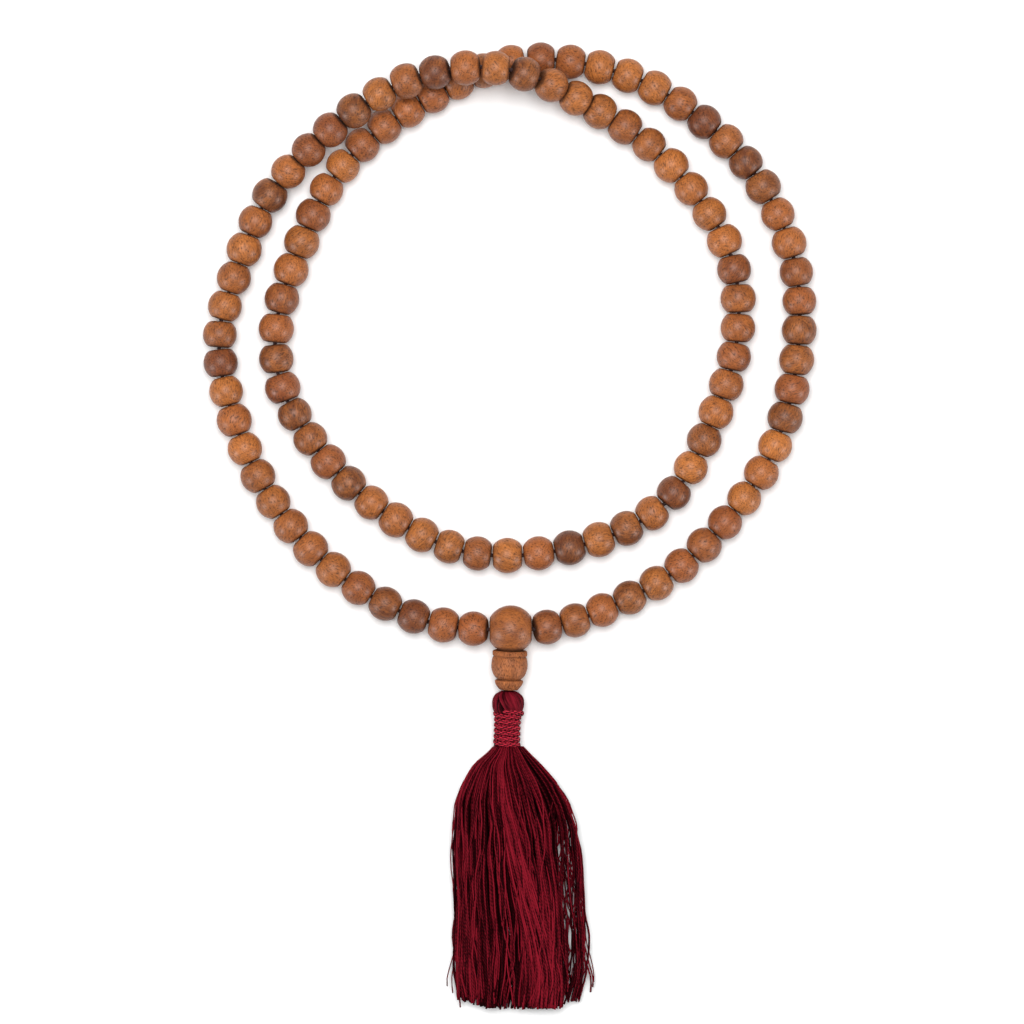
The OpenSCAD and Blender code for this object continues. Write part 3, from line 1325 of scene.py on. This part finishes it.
@dataclass
class StrandCords(Maker):
    """The cord through the beads, its two ends down the tower bead, and their knot."""

    radius: float = 0.5
    end_radius: float = 0.44
    end_offset: float = 0.48
    end_start: float = 0.7
    knot_radius: float = 0.95
    knot_cord: float = 0.3
    bore_inset: float = 0.13

    def build(self) -> None:
        """Makes the strand cord, the cord ends and the knot."""
        self._strand()
        self._ends()
        self._knot()

    def _strand(self) -> bpy.types.Object:
        """Runs the cord through every bead and into the guru bead.

        Returns:
            The cord.
        """
        beads = self.cad.beads
        faces = [self.cad.guru + np.array([way * self.bore_inset * MM, 0, 0]) for way in (-1, 1)]
        between = [(a.end(1) + b.end(-1)) / 2 for a, b in zip(beads, beads[1:])]
        line = np.array([faces[0], beads[0].end(-1), *between, beads[-1].end(1), faces[1]])
        cord = LaidCord(self.radius, plies=3, lay=2.4)
        shapes = cord.shapes(resampled(line, 0.45), np.array([0, 0, 1.0]), 0.4)
        shape = Shape.joined(shapes)
        return self.mounted(shape, "laid_strand_cord", Finish.CORD, "root", "strand_cord", "strand_cord")

    def _ends(self) -> bpy.types.Object:
        """Runs the two cord ends side by side down to the tassel.

        Returns:
            The cord ends.
        """
        last = self.cad.drop.local(self.cad.points("pendant_cord"))[:, 2].max()
        shapes = []
        for way in (-1, 1):
            places = np.linspace(self.end_start, last, 60)
            line = self.cad.drop.place(np.full(60, way * self.end_offset), np.zeros(60), places)
            shapes += LaidCord(self.end_radius, 3, 2.0).shapes(line, self.cad.drop.up, 0.45)
        shape = Shape.joined(shapes)
        return self.mounted(
            shape, "pendant_cord_ends", Finish.CORD, "cord_ends", "strand_cord", "pendant_cord"
        )

    def _knot(self) -> bpy.types.Object:
        """Ties the cord ends in an overhand knot inside the tassel's head.

        Returns:
            The knot.
        """
        turn = np.linspace(0, TURN, 90)
        x = np.sin(turn) + 2 * np.sin(2 * turn)
        y = np.cos(turn) - 2 * np.cos(2 * turn)
        scale = (self.knot_radius - self.knot_cord) / 3
        axis = Axis(self.cad.knot, self.cad.drop.side, self.cad.drop.up, self.cad.drop.along)
        line = axis.place(x * scale, y * scale, -np.sin(3 * turn) * scale)
        shape = Strand(8).swept(line, np.full(90, self.knot_cord), self.cad.drop.along, 0.4)
        return self.mounted(shape, "overhand_knot", Finish.CORD, "knot", "strand_cord", "tassel_knot")


# ---------------------------------------------------------------- the tassel


@dataclass(frozen=True)
class Fluting:
    """The ridges that packed threads give a bundle."""

    threads: int
    depth: float
    start: float

    def __call__(self, angle: Array, along: Array) -> Array:
        """Gives the share of the true radius at each angle and place along the axis."""
        return 1 + self.depth * np.cos(self.threads * angle) * (along > self.start)


@dataclass
class TasselHead(Maker):
    """The threads folded over the knot, in two lobes with a slanting split.

    split_bottom and split_top are the split's angle round the head. outline holds the
    head's distance from the guru bead and its radius, from the top to the binding. cavity
    holds the same of the hollow round the knot, from the knot's place.
    """

    thread: float = 0.24
    left_threads: int = 36
    right_threads: int = 42
    split_bottom: float = 1.42
    split_top: float = 2.5
    overlap: float = 0.34
    hollow: float = 0.8
    shadow: float = 1.0
    top_shadow: float = 0.5
    wave: float = 0.03
    unevenness: float = 0.05
    lightness: tuple[float, float] = (0.52, 0.2)
    seed: int = 5
    outline: tuple[tuple[float, float], ...] = (
        (14.52, 1.05), (14.64, 1.55), (14.86, 2.08), (15.14, 2.5), (15.5, 2.9), (15.95, 3.22),
        (16.5, 3.43), (17.2, 3.5), (18.0, 3.47), (18.7, 3.34), (19.3, 3.08), (19.8, 2.6),
    )
    core_inset: float = 0.3
    core_end: float = 19.6
    core_shade_tone: float = -0.2
    core_segments: int = 156
    neck_radius: float = 2.3
    neck_start: float = 19.65
    neck_end: float = 27.3
    cavity: tuple[tuple[float, float], ...] = ((1.1, 0.05), (0.7, 0.85), (0.0, 1.1), (-1.0, 0.95))

    def profile(self, places: Array) -> tuple[Array, Array]:
        """Gives the head's distance from the guru bead and radius.

        Args:
            places: Shares of the way from the top of the head to the binding.

        Returns:
            The distances and the radii, in millimetres.
        """
        rows = np.array(self.outline)
        travelled = np.concatenate([[0.0], np.cumsum(np.linalg.norm(np.diff(rows, axis=0), axis=1))])
        share = travelled / travelled[-1]
        return np.interp(places, share, rows[:, 0]), np.interp(places, share, rows[:, 1])

    def core(self) -> bpy.types.Object:
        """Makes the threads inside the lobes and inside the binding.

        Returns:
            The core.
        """
        along, radius = self.profile(np.linspace(0, 1, 30))
        inner = np.stack([along + self.core_inset, radius - self.thread - self.hollow], 1)
        inner[:, 1] = np.maximum(inner[:, 1], self.core_inset)
        inner = inner[inner[:, 0] < self.core_end]
        neck = np.linspace(self.neck_start, self.neck_end, 24)
        neck = np.stack([neck, np.full(24, self.neck_radius)], 1)
        knot = float(np.linalg.norm(self.cad.knot - self.cad.guru)) / MM
        cavity = np.array([(self.neck_end - knot, self.cavity[0][1]), *self.cavity])
        cavity[:, 0] += knot
        section = np.concatenate([inner, neck, cavity])[::-1]
        lathe = Lathe(self.cad.drop, self.core_segments)
        shape = lathe.turned(section, Fluting(26, 0.03, 14.6))
        local = lathe.axis.local(shape.points)
        angle = np.arctan2(local[:, 1], local[:, 0])
        shape.attributes["ply"] = np.stack([np.cos(angle * 13), np.sin(angle * 13), local[:, 2]], 1)
        # Painted shade: the core inside the head is dark, as in the shade of the lobes.
        tone = np.array([self.core_shade_tone, 0.0, 0.0])
        shape.attributes["tone"] = np.broadcast_to(tone, (len(local), 3))
        return self.mounted(
            shape, "folded_core", Finish.FOLDED, "tassel", "tassel_thread", "tassel_head"
        )

    def lobes(self) -> bpy.types.Object:
        """Lays the outer threads of both lobes, the right one over the left one.

        Returns:
            The threads.
        """
        rng = np.random.default_rng(self.seed)
        share = np.linspace(0, 1, 36)
        along, radius = self.profile(share)
        split = self.split_bottom + (self.split_top - self.split_bottom) * (1 - share) ** 0.9
        back = -math.pi / 2
        belly = np.sin(np.clip(share * 1.1, 0, 1) * math.pi)
        shapes = []
        left = np.linspace(self.split_bottom - 0.05, back + TURN, self.left_threads)
        right = np.linspace(back, self.split_bottom, self.right_threads)
        for k, angle in enumerate(np.concatenate([left, right])):
            wave = self.wave * np.sin(share * 5 + rng.uniform(0, TURN)) * (1 - share)
            shade = self.top_shadow * smooth_step(0.14, 0.0, share)
            if k < self.left_threads:
                turned = angle + wave
                under = smooth_step(-0.05, 0.45, turned - split)
                lift = -self.hollow * (1 - under) * smooth_step(0.06, 0.25, share)
                shade = shade + self.shadow * (1 - under)
            else:
                near = (angle - back) / (self.split_bottom - back)
                turned = angle + (split - self.split_bottom) * near + wave
                lift = self.overlap * near**6 * np.sin(np.clip(share * 1.02, 0, 1) * math.pi) ** 0.5
            reach = radius + lift * belly**0.3 + rng.uniform(-self.unevenness, self.unevenness)
            line = self.cad.drop.place(reach * np.cos(turned), reach * np.sin(turned), along)
            away = unit(line - self.cad.knot)
            tone = np.clip(rng.normal(*self.lightness), 0, 1) - shade
            thickness = self.thread * (0.75 + 0.25 * belly)
            shapes.append(Strand(7).swept(line, thickness, away, tone, rng.uniform(0, 9)))
        shape = Shape.joined(shapes)
        return self.mounted(
            shape, "folded_threads", Finish.FOLDED, "tassel", "tassel_thread", "tassel_head"
        )

    def build(self) -> None:
        """Makes the head."""
        self.core()
        self.lobes()


@dataclass
class NeckBinding(Maker):
    """One cord wound round the tassel's neck, from a slanting first turn."""

    turns: int = 6
    first: float = 20.18
    last: float = 26.72
    cord_radius: float = 0.67
    waist: float = 2.5
    flare: float = 0.22
    lead_in: float = 0.83
    slant: tuple[float, float] = (0.2, 0.8)
    over_head: float = 0.42
    tuck: float = 0.9
    step: float = 0.14

    def line(self) -> tuple[Array, Array]:
        """Gives the cord's line and which way is outwards along it.

        The cord starts in the split, on the front, slants down over the right lobe and
        round the back, and then winds down the neck. Turn 0 is at the left.

        Returns:
            The points, in metres, and the directions.
        """
        turn = np.arange(-self.lead_in, self.turns - 0.05, self.step / (TURN * self.waist))
        pitch = (self.last - self.first) / (self.turns - 1)
        easing, steep = self.slant
        slanting = easing * smooth_step(0.1, -0.45, turn) + steep * smooth_step(-0.42, -0.8, turn)
        along = self.first + (turn.clip(0) - 0.25) * pitch - slanting
        share = np.clip(turn / self.turns, 0, 1)
        radius = self.waist + self.flare * (2 * share - 1) ** 4
        radius = radius + self.over_head * smooth_step(0.15, -0.45, turn)
        radius -= self.tuck * smooth_step(-self.lead_in + 0.07, -self.lead_in, turn)
        angle = math.pi - TURN * turn
        line = self.cad.drop.place(radius * np.cos(angle), radius * np.sin(angle), along)
        out = np.cos(angle)[:, None] * self.cad.drop.side + np.sin(angle)[:, None] * self.cad.drop.up
        return line, out

    def build(self) -> bpy.types.Object:
        """Winds the cord.

        Returns:
            The binding.
        """
        line, out = self.line()
        cord = LaidCord(self.cord_radius, plies=3, lay=2.8, sides=10)
        shape = Shape.joined(cord.shapes(line, out, 0.5))
        return self.mounted(
            shape, "wound_binding", Finish.BINDING, "tassel", "binding_cord", "neck_binding"
        )


class Lie(Enum):
    """How a group of the tassel's threads lies."""

    UNDER = "skirt_under_threads"
    LEFT = "skirt_left_threads"
    MIDDLE = "skirt_middle_threads"
    RIGHT = "skirt_right_threads"
    SWEPT = "skirt_swept_lock"
    STRAY = "skirt_stray_threads"


@dataclass
class TasselSkirt(Maker):
    """The loose threads below the binding.

    A thread's place across the skirt goes from -1 at the left edge to 1 at the right one,
    and its height from -1 at the bottom to 1 at the top.
    """

    thread: float = 0.235
    under_threads: int = 250
    drawn_threads: int = 60
    over_threads: int = 400
    swept_threads: int = 30
    locks: int = 34
    rings: int = 40
    depth_shade: float = 0.85
    tone_spread: float = 0.3
    crowding: float = 1.25
    sparse_from: float = 0.58
    sparse_share: float = 0.16
    lean: float = 0.27
    frizzy_share: float = 0.3
    seed: int = 33

    def __post_init__(self) -> None:
        """Reads the skirt's outline from the CAD model."""
        points = self.cad.points("tassel_skirt") / MM
        rows = np.unique(np.round(points[:, 1], 2))[::-1]
        near = [points[np.abs(points[:, 1] - y) < 0.02] for y in rows]
        self.top = rows[0]
        self.length = rows[0] - rows[-1]
        self.places = rows[0] - rows
        self.left = np.array([p[:, 0].min() for p in near])
        self.right = np.array([p[:, 0].max() for p in near])
        self.low = np.array([p[:, 2].min() for p in near])
        self.high = np.array([p[:, 2].max() for p in near])
        self.rng = np.random.default_rng(self.seed)
        self.made: dict[Lie, list[Shape]] = {lie: [] for lie in Lie}

    def _edge(self, values: Array, places: Array) -> Array:
        """Gives a smooth edge of the skirt.

        Args:
            values: The edge at each row of the CAD skirt.
            places: Distances from the binding, in millimetres.

        Returns:
            The edge at each place.
        """
        reach, overrun, smooth_below = 4, 14, 4
        fine = np.arange(0, self.length + overrun, 0.5)
        edge = np.interp(fine, self.places, values)
        weights = np.hanning(2 * reach + 1)
        smooth = np.convolve(np.pad(edge, reach, mode="edge"), weights / weights.sum(), "valid")
        share = np.clip(fine / smooth_below, 0, 1)
        return np.interp(places, fine, edge * (1 - share) + smooth * share)

    def wander(self, places: Array, size: float, wavelength: float) -> Array:
        """Draws a slow, smooth wander.

        Args:
            places: Distances from the binding, in millimetres.
            size: How far it strays.
            wavelength: Millimetres from one wave to the next.

        Returns:
            The wander at each place.
        """
        total = np.zeros_like(places)
        for share in (1.0, 0.55, 0.3):
            phase, stretch = self.rng.uniform(0, TURN), self.rng.uniform(0.8, 1.25)
            total += share * np.sin(places * TURN / (wavelength * share * stretch) + phase)
        return size * total * smooth_step(2, 20, places)

    def lay(self, lie: Lie, across: Array, height: Array, length: float, radius: float, tone: float) -> None:
        """Lays one thread.

        Args:
            lie: The group that it belongs to.
            across: Its place across the skirt at each point.
            height: Its height in the skirt at each point.
            length: Its length below the binding, in millimetres.
            radius: Its radius, in millimetres.
            tone: Its lightness.
        """
        places = np.linspace(0, 1, self.rings) ** self.crowding * length
        left, right = self._edge(self.left, places), self._edge(self.right, places)
        low, high = self._edge(self.low, places), self._edge(self.high, places)
        limit = np.sqrt(np.maximum(0.02, 1 - np.clip(np.abs(across), 0, 1) ** 2.2))
        x = (left + right) / 2 + across * (right - left) / 2 * 0.985
        z = (low + high) / 2 + np.clip(height, -1, 1) * limit * ((high - low) / 2 - radius)
        z = np.maximum(z, radius + 0.02)
        line = np.stack([x, self.top + 0.35 - places, z], 1) * MM
        thickness = radius * (0.72 + 0.28 * smooth_step(0, 14, places))
        thickness[-1] *= 1.12
        start = self.rng.uniform(0, 9)
        shade = 0.0 if lie is Lie.STRAY else self.depth_shade
        depth = np.maximum(np.abs(height), np.abs(across) ** 3).clip(0, 1)
        outward = np.stack([across, np.zeros(self.rings), height + 0.01], 1)
        outward = np.array([0.0, 0.0, 1.0]) if lie is Lie.STRAY else outward
        shape = Strand(5, 0.25).swept(line, thickness, outward, tone + shade * (depth - 0.75), start)
        self.made[lie].append(shape)

    def build(self) -> None:
        """Lays every thread and makes one piece of each group."""
        share = np.linspace(0, 1, self.rings) ** self.crowding
        places = share * self.length
        self._under(places)
        self._over(places, share)
        self._swept(places, share)
        self._strays(places, share)
        for lie, shapes in self.made.items():
            shape = Shape.joined(shapes)
            self.mounted(shape, lie.value, Finish.THREAD, "tassel", "tassel_thread", "tassel_skirt")

    def _under(self, places: Array) -> None:
        """Lays the threads underneath, which are painted darker, as shade, and show dark through the gaps.

        The ones at the right are drawn in below the shoulder, which leaves it thin there.

        Args:
            places: Distances from the binding, in millimetres.
        """
        # Painted shade: the under threads get a darker tone than the upper ones.
        for _ in range(self.under_threads):
            across = self.rng.uniform(-0.95, self.sparse_from)
            height = np.full(self.rings, self.rng.uniform(-1, 0.2))
            path = across + self.wander(places, 0.05, 60)
            self.lay(Lie.UNDER, path, height, self._cut(across), self.thread, self._tone(0.25))
        drawn_in = smooth_step(0.1, 0.42, places / self.length)
        for _ in range(self.drawn_threads):
            across = self.rng.uniform(0.5, 0.97)
            height = np.full(self.rings, self.rng.uniform(-0.8, 0.5))
            path = across - (across - self.rng.uniform(0.3, 0.6)) * drawn_in
            path = path + self.wander(places, 0.03, 40)
            self.lay(Lie.UNDER, path, height, self._cut(across), self.thread, self._tone(0.3))

    def _over(self, places: Array, share: Array) -> None:
        """Lays the upper threads, gathered into locks with dark gaps between them.

        Args:
            places: Distances from the binding, in millimetres.
            share: The share of the way down at each of them.
        """
        centres = np.linspace(-0.97, 0.97, self.locks) + self.rng.normal(0, 0.025, self.locks)
        drifts = [self.wander(places, 0.03, self.rng.uniform(45, 90)) for _ in centres]
        tops = self.rng.uniform(0.68, 1.0, self.locks)
        for _ in range(self.over_threads):
            across = self._spot()
            lock = int(np.argmin(np.abs(centres - across)))
            gather = 0.6 * np.sin(share * math.pi) ** 1.3
            path = across * (1 - gather) + centres[lock] * gather + drifts[lock]
            path = path + self._leaning(across, share)
            path = path + self.wander(places, 0.007, 34) + self.rng.normal(0, 0.05) * (share - 0.2)
            if self.rng.random() < self.frizzy_share:
                path = path + self.wander(places, 0.008, 20) + self.rng.normal(0, 0.13) * (share - 0.3)
            height = tops[lock] * self.rng.uniform(0.0, 1.0) ** 0.5 + self.wander(places, 0.08, 40)
            lie = Lie.LEFT if across < -0.35 else Lie.MIDDLE if across < 0.3 else Lie.RIGHT
            radius = self.thread * self.rng.uniform(0.82, 1.1)
            self.lay(lie, path, height, self._cut(across), radius, self._tone(0.4))

    def _leaning(self, across: float, share: Array) -> Array:
        """Gives how far a thread is swept to the right, which opens a gap on its left.

        Args:
            across: The thread's place across the skirt.
            share: The share of the way down at each point.

        Returns:
            How far across it moves at each point.
        """
        swept = smooth_step(-0.36, -0.2, across) * (1 - smooth_step(0.15, 0.8, across))
        return self.lean * swept * smooth_step(0.02, 0.8, share)

    def _spot(self) -> float:
        """Draws a thread's place across the skirt, with few at the far right.

        Returns:
            The place.
        """
        while True:
            across = self.rng.uniform(-1.0, 1.0)
            if across < self.sparse_from or self.rng.random() < self.sparse_share:
                return across

    def _cut(self, across: float) -> float:
        """Draws a thread's length: the ends are uneven, and shorter at the edges."""
        return self.length - 2.6 * abs(across) ** 3 - self.rng.gamma(1.5, 0.9) + 0.9

    def _tone(self, middle: float) -> float:
        """Draws a thread's lightness."""
        return float(np.clip(self.rng.normal(middle, self.tone_spread), 0, 1))

    def _swept(self, places: Array, share: Array) -> None:
        """Lays the lock that crosses the skirt from upper left to lower right.

        Args:
            places: Distances from the binding, in millimetres.
            share: The share of the way down at each of them.
        """
        for _ in range(self.swept_threads):
            spread = self.rng.uniform(-1, 1)
            width = 0.07 + 0.24 * share
            path = -0.2 + 0.66 * smooth_step(0.05, 1.05, share) + spread * width
            path = path + self.wander(places, 0.008, 40) + self.rng.normal(0, 0.07) * share**2
            height = 0.84 + 0.16 * (1 - spread**2) + self.wander(places, 0.05, 40)
            radius = self.thread * self.rng.uniform(0.9, 1.1)
            self.lay(Lie.SWEPT, path, height, self._cut(0.3), radius, self._tone(0.5))

    def _strays(self, places: Array, share: Array) -> None:
        """Lays the single threads that leave the skirt or cross it.

        Args:
            places: Distances from the binding, in millimetres.
            share: The share of the way down at each of them.
        """
        top = np.full(self.rings, 1.0)
        flat = np.full(self.rings, -0.7)
        bulge = -0.98 - 0.07 * np.sin(np.clip(share * 1.6 - 0.05, 0, 1) * math.pi)
        for k in range(4):
            path = bulge + 0.02 * k + self.wander(places, 0.01, 17)
            self.lay(Lie.STRAY, path, flat, self._cut(0.9), 0.15, 0.6)
        for k, reach in enumerate((0.5, 0.42, 0.3)):
            path = 0.72 + 0.09 * k + self.wander(places, 0.01, 30)
            path = path + reach * smooth_step(0.6, 1.1, share)
            self.lay(Lie.STRAY, path, flat, 57.4 - 1.2 * k, 0.24 - 0.05 * k, 0.5)
        for k, reach in enumerate((0.2, 0.14)):
            path = -0.93 + self.wander(places, 0.01, 30) - reach * smooth_step(0.74, 1.0, share)
            self.lay(Lie.STRAY, path, flat, 56.0 + 1.6 * k, 0.15, 0.5)
        for k in range(26):
            path = self.rng.uniform(0.6, 0.98) + self.wander(places, 0.06, 34)
            path = path + self.wander(places, 0.02, 9)
            low = flat + 0.12 * (k % 4 - 1)
            self.lay(Lie.STRAY, np.minimum(path, 1.02), low, self._cut(0.8), 0.17, self._tone(0.4))
        for _ in range(16):
            lean = self.rng.normal(0, 0.3) * (share - self.rng.uniform(0.1, 0.5))
            path = self.rng.uniform(-0.8, 0.5) + self.wander(places, 0.03, 36) + lean
            self.lay(Lie.STRAY, np.clip(path, -0.97, 0.97), top, self._cut(0.4), 0.19, self._tone(0.5))


# ---------------------------------------------------------------- the studio


@dataclass
class Studio:
    """A white table, soft light and a camera straight above."""

    low: Vector
    high: Vector
    lens: float = 200.0
    sensor: float = 36.0
    margin: float = 1.0575
    look: tuple[float, float] = (0.5, 3.0)
    table: float = 6.0
    sky: float = 0.33
    clip: tuple[float, float] = (0.05, 20.0)
    top_place: tuple[float, float, float] = (-0.06, 0.28, 1.6)
    top_size: tuple[float, float] = (1.05, 1.0)
    top_power: float = 31.0
    card_place: tuple[float, float, float] = (1.15, -0.62, 0.5)
    card_size: tuple[float, float] = (0.42, 0.42)
    card_power: float = 13.0

    def _lamp(
        self,
        name: str,
        place: Sequence[float],
        size: tuple[float, float],
        power: float,
        gloss_only: bool = False,
    ) -> None:
        """Adds a rectangular soft light that faces the middle of the strand.

        Args:
            name: The light's name.
            place: Where it stands, in metres.
            size: Its width and height, in metres.
            power: Its power, in watts.
            gloss_only: Whether it shows only in reflections, as a distant bright card does.
        """
        light = bpy.data.lights.new(name, "AREA")
        light.shape, light.size, light.size_y, light.energy = "RECTANGLE", *size, power
        lamp = bpy.data.objects.new(name, light)
        lamp.location = place
        lamp.visible_diffuse = not gloss_only
        lamp.rotation_mode = "QUATERNION"
        lamp.rotation_quaternion = (-Vector(place)).to_track_quat("-Z", "Y")
        bpy.context.scene.collection.objects.link(lamp)

    def build(self) -> None:
        """Sets up the camera, the lights and the table."""
        scene = bpy.context.scene
        scene.view_settings.view_transform = "Standard"
        camera = bpy.data.cameras.new("overhead")
        camera.lens, camera.sensor_width = self.lens, self.sensor
        camera.clip_start, camera.clip_end = self.clip
        eye = bpy.data.objects.new("overhead", camera)
        middle = (self.low + self.high) / 2
        width = (self.high.y - self.low.y) * self.margin
        offset = Vector((self.look[0] * MM, self.look[1] * MM, width * self.lens / self.sensor))
        eye.location = middle + offset
        scene.collection.objects.link(eye)
        scene.camera = eye
        self._lamp("top_light", self.top_place, self.top_size, self.top_power)
        across, back, height = self.card_place
        for name, way in (("left_card", -1), ("right_card", 1)):
            place = (way * across, back, height)
            self._lamp(name, place, self.card_size, self.card_power, gloss_only=True)
        world = bpy.data.worlds.new("pale_room")
        world.use_nodes = True
        background = world.node_tree.nodes["Background"]
        background.inputs["Color"].default_value = (1.0, 1.0, 1.0, 1.0)
        background.inputs["Strength"].default_value = self.sky
        scene.world = world
        half = self.table / 2
        corners = np.array([(-half, -half, 0.0), (half, -half, 0.0), (half, half, 0.0), (-half, half, 0.0)])
        table = Shape(corners, [(0, 1, 2, 3)]).piece("table", FloorFinish().material())
        table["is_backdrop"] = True
        LOG.info("studio: camera %.2f m above the table", eye.location.z)


def corners(box: Iterable[Vector]) -> list[list[float]]:
    """Turns a box's two corners into plain lists."""
    return [[float(c) for c in corner] for corner in box]


def main() -> None:
    """Builds the studio and every piece of the strand."""
    logging.basicConfig(level=logging.INFO, format="%(name)s: %(message)s")
    cad_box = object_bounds()
    Studio(*cad_box).build()
    wardrobe = Wardrobe()
    cad = CadModel(frame)
    StrandCords(cad, wardrobe).build()
    CountingBeads(cad, wardrobe).build()
    GuruBead(cad, wardrobe).build()
    TowerBead(cad, wardrobe).build()
    TasselHead(cad, wardrobe).build()
    NeckBinding(cad, wardrobe).build()
    TasselSkirt(cad, wardrobe).build()


if __name__ == "__main__":
    main()
